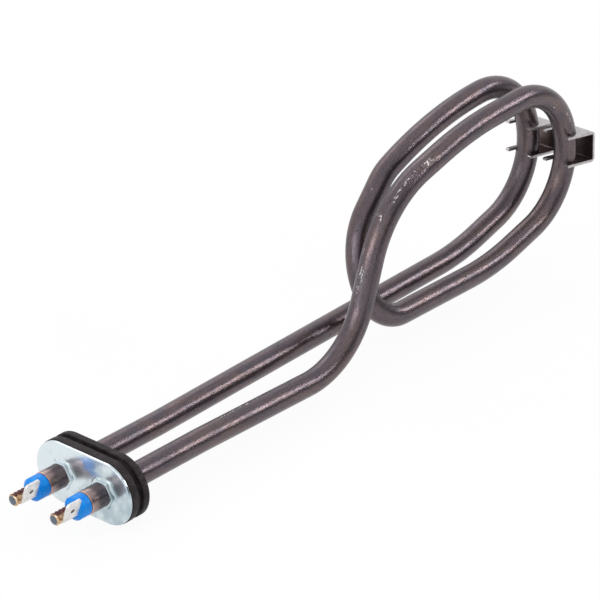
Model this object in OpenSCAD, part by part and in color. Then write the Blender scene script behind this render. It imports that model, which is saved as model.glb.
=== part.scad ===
// Tubular heating element of a washer dryer: one steel sheath bent into two upright
// loops, carried by a zinc plated oval flange with a rubber seal behind it.
// Frame: the origin is the middle of the flange's outer face. The legs run along +X from
// the flange to the loops, Y is the long axis of the flange, and +Z is up. The terminals
// stand on the -X side. All sizes are in millimetres.

/* [Sheath] */
// outer diameter of the sheath tube
tube_d = 8.5; // [7:0.1:10]
// wall thickness of the sheath tube
tube_wall = 0.9; // [0.6:0.1:1.2]
// length of sheath that stands out of the flange face
stub_len = 9; // [6:0.1:12]

/* [Legs] */
// distance between the axes of the two legs
leg_spacing = 19.3; // [18:0.1:24]
// straight part of each leg behind the flange face
leg_square = 45; // [30:1:60]
// rise of the first leg from the flange to the bottom of its loop
leg_rise = 4; // [0:0.5:8]
// sag of the second leg at its S-bend
leg_sag = 1.6; // [0:0.1:3]
// corner of the S-bend, measured from the flange
s_bend_x = 120.5; // [110:0.5:126]
// centre line radius of the S-bend
s_bend_r = 33; // [25:1:40]
// centre line radius of the slight bend behind the seal
ease_r = 100; // [60:5:140]

/* [Loops] */
// distance between the planes of the two loops
loop_gap = 16; // [13:0.5:20]
// end of the straight bottom run, measured from the flange
lead_x = 202.5; // [190:0.5:212]
// centre line radius of the lift at the end of the bottom run
lead_r = 90; // [60:5:110]
// lower corner of the far bend, measured from the flange
far_low_x = 247; // [240:0.5:260]
// height of the lower corner of the far bend above the leg axis
far_low_z = 17; // [12:0.5:22]
// upper corner of the far bend, measured from the flange
far_high_x = 240; // [230:0.5:252]
// height of the upper corner of the far bend
far_high_z = 65.5; // [60:0.5:75]
// centre line radius of the far bend
far_r = 27; // [22:0.5:30]
// shoulder of the top run, measured from the flange
shoulder_x = 189.5; // [180:0.5:198]
// height of the shoulder of the top run
shoulder_z = 63; // [58:0.5:66]
// centre line radius of the shoulder
shoulder_r = 135; // [90:5:150]
// how much further the second loop reaches at the far end
second_reach = 2; // [0:0.5:6]

/* [Near end of the first loop] */
// upper corner where the first loop starts down, measured from the flange
near_x = 162.5; // [156:0.5:168]
// height of that corner
near_z = 51; // [46:0.5:56]
// centre line radius at that corner
near_r = 27; // [20:1:34]
// corner of the crossing between the two loops, measured from the flange
cross_x = 138.5; // [134:0.5:144]
// height of the crossing corner
cross_z = 33; // [29:0.5:37]
// sideways place of the crossing corner, from the middle plane
cross_y = 5; // [2:0.5:8]
// centre line radius of the crossing corner
cross_r = 30; // [20:1:36]
// lower corner where the crossing meets the second bottom run, measured from the flange
turn_x = 138.5; // [134:0.5:144]
// height of that lower corner
turn_z = 4.5; // [3:0.5:7]
// centre line radius of that lower corner
turn_r = 14.5; // [13:0.5:18]

/* [Near end of the second loop] */
// corner where the second loop starts down, measured from the flange
drop_x = 144.5; // [138:0.5:150]
// height of that corner
drop_z = 50.5; // [46:0.5:56]
// centre line radius at that corner
drop_r = 44; // [34:1:50]

/* [Flange plate] */
// long axis of the oval plate
plate_l = 44; // [42:0.5:52]
// short axis of the oval plate
plate_w = 22.6; // [20:0.2:28]
// sheet thickness of the plate
plate_t = 1.2; // [0.8:0.1:2]
// height of the drawn collars above the plate
collar_h = 1.7; // [1.4:0.1:4]
// width of each collar over two flats of its hexagon
collar_af = 9.6; // [9.6:0.1:12]

/* [Seal] */
// thickness of the rubber seal behind the plate
seal_t = 7.6; // [6:0.2:12]
// how far the seal stands out past the plate, all round
seal_over = 0.2; // [0:0.1:1.5]
// width of the groove for the edge of the tub
groove_w = 2.1; // [1.2:0.1:3]
// depth of that groove
groove_d = 1.8; // [0.8:0.1:2.4]
// width of the outer rib, next to the plate
outer_rib = 3; // [2:0.1:4]

/* [Terminals] */
// length of each insulating bush outside the sheath
bush_len = 5.8; // [5:0.1:10]
// outer diameter of each bush
bush_d = 8.2; // [6.4:0.1:9]
// depth of the spigot of each bush inside the sheath
bush_spigot = 3; // [2:0.5:6]
// length of the ridged end of each pin outside its bush
pin_end_len = 7.8; // [5:0.1:10]
// diameter of the ridged end
pin_end_d = 4.4; // [3.4:0.1:4.6]
// diameter of each pin inside the sheath
pin_d = 2.8; // [2:0.1:3.2]
// length of each cold pin inside the sheath
pin_inner = 50; // [30:1:60]
// number of ridges on the outer end of each pin
ridge_n = 4; // [2:1:5]

/* [Tabs] */
// width of the tab blade
tab_w = 6.3; // [4.8:0.1:6.5]
// length of the tab blade
tab_l = 7.8; // [7:0.1:10]
// thickness of the tab blade
tab_t = 0.8; // [0.5:0.1:1]
// height of the blade's lower edge above the axis of its pin
tab_lift = 0.3; // [0:0.1:1]
// diameter of the latch hole
tab_hole = 1.6; // [1:0.1:2]
// lean of the tab away from upright, outwards at the top
tab_lean = 21; // [0:1:30]

/* [Clips] */
// height of each clip along the tube
clip_h = 12.2; // [9:0.2:16]
// outer width of each clip across the tube
clip_w = 12; // [11.4:0.2:16]
// sheet thickness of the clips
clip_t = 0.8; // [0.6:0.1:1.2]
// distance from the tube axis to the outside of the clip's back
clip_back = 10; // [8:0.2:14]
// length of the prongs past the tube axis
clip_prong = 5.6; // [5:0.2:9]
// height of the middle of each clip above the leg axis
clip_z = 36.5; // [33:0.5:41]
// rise of the clip's flanges from its upright back to the prongs
clip_tilt = 10; // [0:1:14]

/* [Inside] */
// outer diameter of the wound resistance coil
coil_d = 3.2; // [2.4:0.1:3.6]
// length of each sealing plug behind its bush
plug_len = 5; // [3:0.5:8]

/* [Hidden] */
// gap between pieces that are pressed, swaged or filled against each other
press_gap = 0.04;
// gap between a clip's notch and the tube it grips
grip_gap = 0.15;
// shortest straight stretch kept between two bends
min_straight = 0.2;
// largest distance between a bend and its facets
sag = 0.06;
// facets round a tube, and round the thin parts inside it
tube_fn = 28;
thin_fn = 16;
// facets of the rounded ends of plate and seal, and of their small rounds
oval_fn = 72;
round_fn = 24;
// overlap that fuses the solids of one piece
fuse = 0.01;
// a straight stretch runs this far into the bends beside it, with a wall this much thinner
// on each face, so that the two fuse cleanly
lap = 0.06;
lap_step = 0.015;

tube_r = tube_d / 2;
bore_r = tube_r - tube_wall;
fill_r = bore_r - press_gap;
coil_r = coil_d / 2;
pin_r = pin_d / 2;

leg_y = leg_spacing / 2;
second_y = leg_y - loop_gap;

// Corners of the sheath's centre line, from terminal to terminal
path = [
    [-stub_len, leg_y, 0],
    [leg_square, leg_y, 0],
    [lead_x, leg_y, leg_rise],
    [far_low_x, leg_y, far_low_z],
    [far_high_x, leg_y, far_high_z],
    [shoulder_x, leg_y, shoulder_z],
    [near_x, leg_y, near_z],
    [cross_x, cross_y, cross_z],
    [turn_x, second_y, turn_z],
    [lead_x, second_y, leg_rise],
    [far_low_x + second_reach, second_y, far_low_z],
    [far_high_x + second_reach, second_y, far_high_z],
    [shoulder_x, second_y, shoulder_z],
    [drop_x, second_y, drop_z],
    [s_bend_x, -leg_y, -leg_sag],
    [leg_square, -leg_y, 0],
    [-stub_len, -leg_y, 0]
];

// Bend radius wanted at each corner
wanted_r = [
    0, ease_r, lead_r, far_r, far_r, shoulder_r, near_r, cross_r, turn_r,
    lead_r, far_r, far_r, shoulder_r, drop_r, s_bend_r, ease_r, 0
];

last = len(path) - 1;

function unit(v) = v / norm(v);
// direction and length of the stretch that starts at corner i
function way(i) = unit(path[i + 1] - path[i]);
function reach(i) = norm(path[i + 1] - path[i]);
// angle turned at corner i, and the length that its bend takes on each side
function turned(i) = acos(max(-1, min(1, way(i - 1) * way(i))));
function wanted_t(i) = i <= 0 || i >= last ? 0 : wanted_r[i] * tan(turned(i) / 2);
// share of the wanted radius that fits on the stretch that starts at corner i
function share(i) = i < 0 || i >= last ? 1
    : min(1, (reach(i) - min_straight) / max(fuse, wanted_t(i) + wanted_t(i + 1)));
function fit(i) = min(share(i - 1), share(i));
function bend_r(i) = wanted_r[i] * fit(i);
function bend_t(i) = wanted_t(i) * fit(i);
// middle of the bend at corner i
function inward(i) = unit(way(i) - (way(i) * way(i - 1)) * way(i - 1));
function bend_start(i) = path[i] - way(i - 1) * bend_t(i);
function bend_mid(i) = bend_start(i) + inward(i) * bend_r(i);
// centre line along +X of loop corner i at height z, on its far bend
function far_x(i, z) = let (m = bend_mid(i))
    m.x + sqrt(max(0, bend_r(i) * bend_r(i) - (z - m.z) * (z - m.z)));

// Places a shape so that its X, Y and Z run along the given directions
module aligned(p, x, y) {
    z = cross(x, y);
    multmatrix([
        [x.x, y.x, z.x, p.x],
        [x.y, y.y, z.y, p.y],
        [x.z, y.z, z.z, p.z],
        [0, 0, 0, 1]
    ]) children();
}

// a direction square to d, always found the same way
function beside(d) = unit(cross(d, abs(d.z) < 0.9 ? [0, 0, 1] : [0, 1, 0]));

// Round or ring section: outer radius, inner radius (0 for none)
module section(ro, ri, fn) {
    difference() {
        circle(r = ro, $fn = fn);
        if (ri > 0) circle(r = ri, $fn = fn);
    }
}

// Straight stretch that starts at corner i, cut short by skip at either end
module straight(i, ro, ri, fn, skip_start = 0, skip_end = 0) {
    d = way(i);
    from = path[i] + d * (bend_t(i) + skip_start);
    long = reach(i) - bend_t(i) - bend_t(i + 1) - skip_start - skip_end;
    x = beside(d);
    aligned(from, x, cross(d, x))
        linear_extrude(height = long)
            section(ro - lap_step, ri > 0 ? ri + lap_step : 0, fn);
}

// Bend at corner i
module bend(i, ro, ri, fn) {
    r = bend_r(i);
    steps = ceil(360 / (2 * acos(1 - sag / r)));
    aligned(bend_mid(i), -inward(i), way(i - 1))
        rotate_extrude(angle = turned(i), $fn = steps)
            translate([r, 0]) section(ro, ri, fn);
}

// Stretches lines[0] to lines[1] with the bends at corners bends[0] to bends[1]
module run(lines, bends, ro, ri, fn) {
    for (i = [lines[0]:lines[1]])
        straight(i, ro, ri, fn,
            i >= bends[0] && i <= bends[1] ? -lap : 0,
            i + 1 >= bends[0] && i + 1 <= bends[1] ? -lap : 0);
    for (i = [bends[0]:bends[1]]) bend(i, ro, ri, fn);
}

// Revolved shape lying along -X from the sheath's end: points are [distance outwards, radius]
module turned_part(side, points) {
    translate([-stub_len, side * leg_y, 0])
        rotate([0, -90, 0])
            rotate_extrude($fn = tube_fn)
                polygon([for (p = points) [p[1], p[0]]]);
}

// Oval outline, long axis along Y once it is stood up
module oval(l, w) {
    square([l - w, w], center = true);
    for (s = [-1, 1]) translate([s * (l - w) / 2, 0]) circle(d = w, $fn = oval_fn);
}

// Oval slab from x0 to x1
module slab(l, w, x0, x1) {
    translate([x0, 0, 0])
        rotate([90, 0, 90])
            linear_extrude(height = x1 - x0) oval(l, w);
}

// The two holes for the legs
module leg_holes(x0, x1) {
    for (s = [-1, 1])
        translate([x0, s * leg_y, 0])
            rotate([0, 90, 0])
                cylinder(r = tube_r + press_gap, h = x1 - x0, $fn = tube_fn * 2);
}

// The steel sheath, in five stretches between square cuts
module sheath_first_leg() {
    color("#5d5256") run([0, 1], [1, 1], tube_r, bore_r, tube_fn);
}

module sheath_first_loop() {
    color("#5d5256") run([2, 5], [2, 6], tube_r, bore_r, tube_fn);
}

module sheath_crossing() {
    color("#5d5256") run([6, 7], [7, 8], tube_r, bore_r, tube_fn);
}

module sheath_second_loop() {
    color("#5d5256") run([8, 12], [9, 13], tube_r, bore_r, tube_fn);
}

module sheath_second_leg() {
    color("#5d5256") run([13, 15], [14, 15], tube_r, bore_r, tube_fn);
}

// where the magnesia starts, and where the cold pins end, measured from the sheath's end
fill_from = bush_spigot + press_gap + plug_len + press_gap;
pin_stop = min(pin_inner, reach(0) - bend_t(1) - 1);

// length of the straight end stretches up to their bend
end_long = reach(0) - bend_t(1);

// Magnesia filling: bored for the cold pins near the terminals and for the coil elsewhere
module magnesia_core() {
    coil_bore = coil_r + press_gap;
    pin_bore = pin_r + press_gap;
    color("#e8e4da") {
        difference() {
            straight(0, fill_r, 0, thin_fn, fill_from, -lap);
            straight(0, pin_bore, 0, thin_fn, fill_from - 1, end_long - pin_stop);
            straight(0, coil_bore + 2 * lap_step, 0, thin_fn, pin_stop - fuse, -1);
        }
        run([1, 14], [1, 15], fill_r, coil_bore, thin_fn);
        difference() {
            straight(15, fill_r, 0, thin_fn, -lap, fill_from);
            straight(15, pin_bore, 0, thin_fn, end_long - pin_stop, fill_from - 1);
            straight(15, coil_bore + 2 * lap_step, 0, thin_fn, -1, pin_stop - fuse);
        }
    }
}

// Resistance coil, as the solid envelope of its close winding
module resistance_coil() {
    color("#8a8d90") {
        straight(0, coil_r, 0, thin_fn, pin_stop + press_gap, -lap);
        run([1, 14], [1, 15], coil_r, 0, thin_fn);
        straight(15, coil_r, 0, thin_fn, -lap, pin_stop + press_gap);
    }
}

// Terminal pin: thin inside the sheath, with a ridged end outside the bush
ridge_deep = 0.35;
ridge_land = 0.6;
tip_chamfer = 0.5;

module terminal_pin(side) {
    end_r = pin_end_d / 2;
    end_from = bush_len + press_gap;
    end_to = end_from + pin_end_len;
    pitch = (pin_end_len - 2 * ridge_land) / ridge_n;
    ridges = [for (k = [0:ridge_n - 1])
        each [
            [end_from + ridge_land + k * pitch, end_r],
            [end_from + ridge_land + (k + 0.5) * pitch, end_r - ridge_deep]
        ]
    ];
    color("#9a7348") turned_part(side, concat(
        [[-pin_stop, 0], [-pin_stop, pin_r], [end_from, pin_r], [end_from, end_r]],
        ridges,
        [[end_to - ridge_land, end_r], [end_to - tip_chamfer, end_r],
         [end_to, end_r - tip_chamfer], [end_to, 0]]
    ));
}

module first_terminal_pin() {
    terminal_pin(1);
}

module second_terminal_pin() {
    terminal_pin(-1);
}

// Sealing plug between the magnesia and the bush
module sealing_plug(side) {
    near = -bush_spigot - press_gap;
    color("#c9bfae") turned_part(side, [
        [near - plug_len, pin_r + press_gap], [near - plug_len, fill_r],
        [near, fill_r], [near, pin_r + press_gap]
    ]);
}

module first_sealing_plug() {
    sealing_plug(1);
}

module second_sealing_plug() {
    sealing_plug(-1);
}

// Insulating bush: a spigot in the sheath and a collar of nearly its diameter outside
bush_chamfer = 1.1;

module insulating_bush(side) {
    bore = pin_r + press_gap;
    out_r = bush_d / 2;
    color("#0078d7") turned_part(side, [
        [-bush_spigot, bore], [-bush_spigot, fill_r], [press_gap, fill_r], [press_gap, out_r],
        [bush_len - bush_chamfer, out_r], [bush_len, out_r - bush_chamfer], [bush_len, bore]
    ]);
}

module first_insulating_bush() {
    insulating_bush(1);
}

module second_insulating_bush() {
    insulating_bush(-1);
}

// Flag tab: its blade leans out at the top and lies against the side of its pin
tab_corner = 0.7;

module flag_tab(side) {
    mid_x = -stub_len - bush_len - press_gap - tab_w / 2;
    color("#d8d6d2")
        translate([mid_x, side * leg_y, 0])
            rotate([tab_lean, 0, 0])
                translate([0, -pin_end_d / 2 - press_gap, tab_lift])
                    rotate([90, 0, 0])
                        linear_extrude(height = tab_t)
                            difference() {
                                polygon([
                                    [-tab_w / 2, 0],
                                    [tab_w / 2, 0],
                                    [tab_w / 2, tab_l - tab_corner],
                                    [tab_w / 2 - tab_corner, tab_l],
                                    [-tab_w / 2 + tab_corner, tab_l],
                                    [-tab_w / 2, tab_l - tab_corner]
                                ]);
                                translate([0, tab_l / 2])
                                    circle(d = tab_hole, $fn = round_fn);
                            }
}

module first_flag_tab() {
    flag_tab(1);
}

module second_flag_tab() {
    flag_tab(-1);
}

// Flange plate with its two drawn collars, each crimped to a hexagon
collar_flare = 1.3;

// One collar: a hexagon with a turned rim, and the flare where it leaves the plate
module collar() {
    corner_r = collar_af / 2 / cos(30);
    rim_r = collar_af / 2;
    rotate([0, -90, 0]) {
        intersection() {
            rotate([0, 0, 90]) cylinder(r = corner_r, h = collar_h, $fn = 6);
            cylinder(r1 = corner_r + collar_h, r2 = rim_r + fuse, h = collar_h, $fn = tube_fn);
        }
        rotate_extrude($fn = tube_fn * 2)
            difference() {
                square([rim_r + collar_flare, collar_flare]);
                translate([rim_r + collar_flare, collar_flare])
                    circle(r = collar_flare, $fn = round_fn);
            }
    }
}

module flange_plate() {
    color("#c8d4dc")
        difference() {
            union() {
                slab(plate_l, plate_w, 0, plate_t);
                for (s = [-1, 1]) translate([0, s * leg_y, 0]) collar();
            }
            leg_holes(-collar_h - 1, plate_t + 1);
        }
}

// Rubber seal: two ribs with the groove that takes the edge of the tub
module grommet_seal() {
    l = plate_l + 2 * seal_over;
    w = plate_w + 2 * seal_over;
    x0 = plate_t + press_gap;
    x1 = x0 + outer_rib;
    x2 = x1 + groove_w;
    x3 = x0 + seal_t;
    color("#2b2626")
        difference() {
            union() {
                slab(l, w, x0, x1);
                slab(l - 2 * groove_d, w - 2 * groove_d, x1 - fuse, x2 + fuse);
                slab(l, w, x2, x3);
            }
            leg_holes(x0 - 1, x3 + 1);
        }
}

// Locating clip: a channel of sheet steel with an upright back. Its two flanges rise
// towards their ends, and are notched for the tube.
clip_bend_r = 1.6;

function clip_rise(x) = -x * tan(clip_tilt);

// Side view of the channel, filled: upright at back, open at front
module channel_outline(back, front, h, r) {
    corners = [for (s = [-1, 1]) [back, s * h / 2 + clip_rise(back)]];
    rises = unit([front - back, clip_rise(front) - clip_rise(back)]);
    // length of each rounded corner along its sides, and the middle of its round
    cut = [for (s = [-1, 1]) r * tan((90 - s * clip_tilt) / 2)];
    mids = [for (k = [0, 1]) [back - r, corners[k].y + (k == 0 ? 1 : -1) * cut[k]]];
    polygon([
        mids[0] + [r, 0],
        mids[1] + [r, 0],
        mids[1],
        corners[1] + rises * cut[1],
        [front, h / 2 + clip_rise(front)],
        [front, -h / 2 + clip_rise(front)],
        corners[0] + rises * cut[0],
        mids[0]
    ]);
    for (m = mids) translate(m) circle(r = r, $fn = round_fn);
}

module clip_channel(back, front) {
    difference() {
        channel_outline(back, front, clip_h, clip_bend_r);
        channel_outline(back - clip_t, front - 1, clip_h - 2 * clip_t / cos(clip_tilt),
            clip_bend_r - clip_t);
    }
}

module locating_clip(i, y) {
    notch_r = tube_r + grip_gap;
    color("#c4c0be")
        difference() {
            translate([far_x(i, clip_z), y, clip_z])
                difference() {
                    translate([0, clip_w / 2, 0])
                        rotate([90, 0, 0])
                            linear_extrude(height = clip_w)
                                clip_channel(clip_back, -clip_prong);
                    translate([-clip_prong - 1, -notch_r, -clip_h])
                        cube([clip_prong + 1, 2 * notch_r, 2 * clip_h]);
                }
            run([i, i], [i, i + 1], notch_r, 0, tube_fn * 2);
        }
}

module first_locating_clip() {
    locating_clip(3, leg_y);
}

module second_locating_clip() {
    locating_clip(10, second_y);
}

flange_plate();
grommet_seal();
sheath_first_leg();
sheath_first_loop();
sheath_crossing();
sheath_second_loop();
sheath_second_leg();
magnesia_core();
resistance_coil();
first_terminal_pin();
second_terminal_pin();
first_sealing_plug();
second_sealing_plug();
first_insulating_bush();
second_insulating_bush();
first_flag_tab();
second_flag_tab();
first_locating_clip();
second_locating_clip();
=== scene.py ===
# %% [markdown]
# # A washer dryer heating element
#
# The part is a steel tube, bent by machine into two upright loops and filled with a heating
# coil in white powder. Its two ends come out through an oval zinc plated flange with a rubber
# seal behind it. The solids are already made and loaded as a fixed frame. This lesson dresses
# them: it models the outer pieces again, with the small rounds and rolled edges that the solids
# lack, and gives every piece its finish.

# %% Load the frame
import math
from collections import Counter

import bpy
import numpy as np
from mathutils import Matrix, Vector


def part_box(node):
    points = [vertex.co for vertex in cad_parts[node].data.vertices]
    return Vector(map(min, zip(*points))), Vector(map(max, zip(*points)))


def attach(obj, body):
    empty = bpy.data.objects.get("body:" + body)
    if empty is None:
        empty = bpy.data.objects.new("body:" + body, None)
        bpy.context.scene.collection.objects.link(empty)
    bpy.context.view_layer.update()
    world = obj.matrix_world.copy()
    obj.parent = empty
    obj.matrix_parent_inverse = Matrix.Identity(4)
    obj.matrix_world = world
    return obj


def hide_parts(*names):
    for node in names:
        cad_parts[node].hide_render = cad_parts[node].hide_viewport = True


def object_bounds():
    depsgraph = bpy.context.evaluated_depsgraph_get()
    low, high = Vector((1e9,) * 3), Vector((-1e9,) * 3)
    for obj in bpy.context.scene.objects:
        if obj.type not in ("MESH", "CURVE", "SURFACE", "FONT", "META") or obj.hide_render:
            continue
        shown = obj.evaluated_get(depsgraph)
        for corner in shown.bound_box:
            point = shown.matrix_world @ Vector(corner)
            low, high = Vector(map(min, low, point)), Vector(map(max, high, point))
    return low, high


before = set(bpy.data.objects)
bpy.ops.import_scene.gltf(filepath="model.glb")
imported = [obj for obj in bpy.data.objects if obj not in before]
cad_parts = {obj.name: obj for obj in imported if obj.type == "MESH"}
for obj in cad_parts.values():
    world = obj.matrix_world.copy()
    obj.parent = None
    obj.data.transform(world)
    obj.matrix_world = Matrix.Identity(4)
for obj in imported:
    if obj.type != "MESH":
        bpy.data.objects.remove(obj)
cad_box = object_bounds()
MM = 0.001
box_size = [round(v / MM, 1) for v in cad_box[1] - cad_box[0]]
print("frame:", len(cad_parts), "solids in a box of", box_size, "mm")

# %% [markdown]
# ## The camera
#
# The picture was taken from the terminal side, a little from above, with a long lens. The place
# and the directions of the camera come from matching the bends and the flange to the picture,
# so a render can be laid over it.

# %% Camera
LENS = 200.14
CAMERA_PLACE = Vector((-0.643, -0.70248, 0.54708))
CAMERA_RIGHT = Vector((0.67348, -0.73871, -0.02680))
CAMERA_UP = Vector((0.35074, 0.28744, 0.89126))


def add_camera():
    bpy.ops.object.camera_add(location=CAMERA_PLACE)
    camera = bpy.context.object
    camera.name = "camera"
    back = CAMERA_RIGHT.cross(CAMERA_UP)
    camera.rotation_euler = Matrix((CAMERA_RIGHT, CAMERA_UP, back)).transposed().to_euler()
    camera.data.lens = LENS
    camera.data.clip_start = 0.01
    bpy.context.scene.camera = camera
    return camera


bpy.context.scene.view_settings.view_transform = "Standard"
print("camera looks from", [round(v, 2) for v in add_camera().location])

# %% [markdown]
# ## Finishes as sums
#
# A finish is a small calculation at each point of a surface. Nodes do that sum, and long
# chains of them are hard to read. So one small class wraps a socket and lets Python's own
# signs add the Math nodes, and one method adds every other kind of node.


# %% Helpers for finishes
class Value:
    """A number that a node gives, with Python's signs for its sums."""

    def __init__(self, finish, socket):
        self.finish = finish
        self.socket = socket

    def math_node(self, operation, a, b=None, clamp=False):
        settings = {"operation": operation, "use_clamp": clamp}
        links = {0: a} if b is None else {0: a, 1: b}
        return self.finish.node("ShaderNodeMath", settings, links)

    def __add__(self, other):
        return self.math_node("ADD", self, other)

    __radd__ = __add__

    def __sub__(self, other):
        return self.math_node("SUBTRACT", self, other)

    def __rsub__(self, other):
        return self.math_node("SUBTRACT", other, self)

    def __mul__(self, other):
        return self.math_node("MULTIPLY", self, other)

    __rmul__ = __mul__

    def __abs__(self):
        return self.math_node("ABSOLUTE", self)

    def clipped(self):
        """The value, kept from 0 to 1."""
        return self.math_node("ADD", self, 0.0, clamp=True)

    def stepped(self, low, high):
        """0 below low, 1 above high, and smooth between them."""
        settings = {"interpolation_type": "SMOOTHSTEP"}
        links = {"Value": self, "From Min": low, "From Max": high}
        return self.finish.node("ShaderNodeMapRange", settings, links)


class Finish:
    """A material or a world, built with node(). A material ends in surface()."""

    def __init__(self, owner):
        owner.use_nodes = True
        self.owner = owner
        self.tree = owner.node_tree
        self.tree.nodes.clear()

    def node(self, kind, settings=None, links=None, out=0):
        """Adds a node, with its settings first and then the values or links of its sockets."""
        made = self.tree.nodes.new(kind)
        for key, value in (settings or {}).items():
            setattr(made, key, value)
        for key, value in (links or {}).items():
            socket = made.inputs[key] if isinstance(key, int) else self.find(made, key)
            if isinstance(value, Value):
                self.tree.links.new(value.socket, socket)
            else:
                socket.default_value = value
        return Value(self, made.outputs[out]) if made.outputs else None

    def find(self, made, key):
        """The first shown socket of that name."""
        return next(s for s in made.inputs if s.name == key and s.enabled)

    def mix(self, factor, a, b):
        """Colour a where factor is 0, and b where it is 1."""
        settings = {"data_type": "RGBA"}
        # sockets 6 and 7 of a Mix node are its colours, and output 2 is the mixed colour
        return self.node("ShaderNodeMix", settings, {0: factor, 6: solid(a), 7: solid(b)}, out=2)

    def vector(self, operation, a, b=None, out="Vector"):
        links = {0: a} if b is None else {0: a, 1: b}
        return self.node("ShaderNodeVectorMath", {"operation": operation}, links, out)

    def stretched(self, vector, x, y, z):
        return self.vector("MULTIPLY", vector, (x, y, z))

    def place(self):
        """Where the point is, in millimetres."""
        where = self.node("ShaderNodeTexCoord", out="Object")
        return self.stretched(where, 1 / MM, 1 / MM, 1 / MM)

    def axis(self, vector, index):
        return self.node("ShaderNodeSeparateXYZ", None, {0: vector}, out=index)

    def noise(self, vector, scale, detail=2.0, rough=0.5):
        links = {"Vector": vector, "Scale": scale, "Detail": detail, "Roughness": rough}
        return self.node("ShaderNodeTexNoise", None, links)

    def near(self, vector, centre, size):
        """1 at the centre of an egg shaped patch and 0 outside it. Size has its half lengths."""
        gap = self.vector("SUBTRACT", vector, centre)
        gap = self.stretched(gap, 1 / size[0], 1 / size[1], 1 / size[2])
        return 1 - self.vector("LENGTH", gap, out="Value").stepped(0.3, 1.0)

    def bump(self, height, strength, distance, under=None):
        links = {"Height": height, "Strength": strength, "Distance": distance}
        if under is not None:
            links["Normal"] = under
        return self.node("ShaderNodeBump", None, links)

    def surface(self, **sockets):
        """Closes a material. The name base_color stands for the socket Base Color, and so on."""
        links = {}
        for key, value in sockets.items():
            links[key.replace("_", " ").title().replace("Ior", "IOR")] = value
        shader = self.node("ShaderNodeBsdfPrincipled", None, links)
        self.node("ShaderNodeOutputMaterial", None, {"Surface": shader})
        return self.owner


def new_finish(name):
    return Finish(bpy.data.materials.new(name))


def solid(colour):
    """A colour as a socket takes it."""
    return (*colour, 1.0) if isinstance(colour, tuple) and len(colour) == 3 else colour


print("a socket takes white as", solid((1.0, 1.0, 1.0)))

# %% [markdown]
# ## Floor and light
#
# The picture has a white background, so the floor is a white sheet. What the camera and the
# metal see of it is mostly plain white, and the rest is ordinary paint, which keeps a soft
# shadow under the part. The world is a pale room with one dark side, to the right of the
# camera. That dark side gives the metal its depth, and three soft boxes draw the long light
# lines on the tube.

# %% Floor
FLOOR_SIZE = 8.0
FLOOR_WHITE = 0.93
FLOOR_PAINT = (0.86, 0.86, 0.86)
WHITE = (1.0, 1.0, 1.0)


def add_floor():
    bpy.ops.mesh.primitive_plane_add(size=FLOOR_SIZE, location=(0.12, 0, cad_box[0].z))
    floor = bpy.context.object
    floor.name = "floor"
    sheet = new_finish("floor_white")
    seen = sheet.node("ShaderNodeLightPath", out="Is Camera Ray")
    for ray in ("Is Glossy Ray", "Is Transmission Ray"):
        seen = (seen + sheet.node("ShaderNodeLightPath", out=ray)).clipped()
    paint = sheet.node("ShaderNodeBsdfDiffuse", None, {"Color": solid(FLOOR_PAINT)})
    glow = sheet.node("ShaderNodeEmission", None, {"Color": solid(WHITE)})
    both = sheet.node("ShaderNodeMixShader", None, {0: seen * FLOOR_WHITE, 1: paint, 2: glow})
    sheet.node("ShaderNodeOutputMaterial", None, {"Surface": both})
    floor.data.materials.append(sheet.owner)
    return floor


print("floor at", round(add_floor().location.z / MM, 2), "mm")

# %% World
SKY = (0.95, 0.95, 0.97)
DARK_ROOM = (0.07, 0.07, 0.075)
ROOM_SIDE = (0.55, -0.83, 0.0)
DARK_FROM = 0.5
DARK_FULL = 0.85


def light_room():
    room = Finish(bpy.data.worlds.new("room"))
    bpy.context.scene.world = room.owner
    # in a world, this output is the way that the ray goes
    way = room.node("ShaderNodeTexCoord", out=0)
    facing = room.vector("DOT_PRODUCT", way, ROOM_SIDE, out="Value")
    colour = room.mix(facing.stepped(DARK_FROM, DARK_FULL), SKY, DARK_ROOM)
    back = room.node("ShaderNodeBackground", None, {"Color": colour})
    room.node("ShaderNodeOutputWorld", None, {"Surface": back})
    return room.owner


print("world:", light_room().name)

# %% Lamps
MIDDLE = Vector((0.12, 0.0, 0.03))


def soft_box(name, direction, distance, size, brightness):
    """A rectangular lamp in that direction from the part, as bright as that many whites."""
    way = Vector(direction).normalized()
    bpy.ops.object.light_add(type="AREA", location=MIDDLE + way * distance)
    lamp = bpy.context.object
    lamp.name = name
    lamp.data.shape = "RECTANGLE"
    lamp.data.size = size[0]
    lamp.data.size_y = size[1]
    lamp.data.energy = brightness * math.pi * size[0] * size[1]
    lamp.rotation_euler = way.to_track_quat("Z", "Y").to_euler()


soft_box("key_box", (-0.85, -0.02, 0.52), 0.9, (0.45, 0.3), 4.0)
soft_box("right_box", (0.65, -0.61, 0.47), 1.0, (0.6, 0.12), 14.0)
soft_box("back_box", (0.3, 0.75, 0.75), 1.0, (0.7, 0.25), 2.0)

# %% [markdown]
# ## Selecting
#
# An operator works on whatever is selected. So each step first drops the old selection, then
# picks its own corners or edges by where they are.


# %% Selecting
def leave_edit():
    bpy.ops.object.mode_set(mode="OBJECT")


def nothing_selected():
    if bpy.context.mode != "OBJECT":
        leave_edit()
    bpy.ops.object.select_all(action="DESELECT")


def just_added(name):
    """The piece that was added last, with its name."""
    piece = bpy.context.object
    piece.name = name
    return piece


def only(piece):
    nothing_selected()
    bpy.context.view_layer.objects.active = piece
    piece.select_set(True)


def settle():
    """Puts the place, turn and size of the selected piece into its mesh."""
    bpy.ops.object.transform_apply(location=True, rotation=True, scale=True)


def edit_all():
    """Goes into edit mode with the whole piece selected."""
    bpy.ops.object.mode_set(mode="EDIT")
    bpy.ops.mesh.select_all(action="SELECT")


def pull(step):
    """Extrudes what is selected by that step."""
    bpy.ops.mesh.extrude_region_move(TRANSFORM_OT_translate={"value": step})


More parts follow.
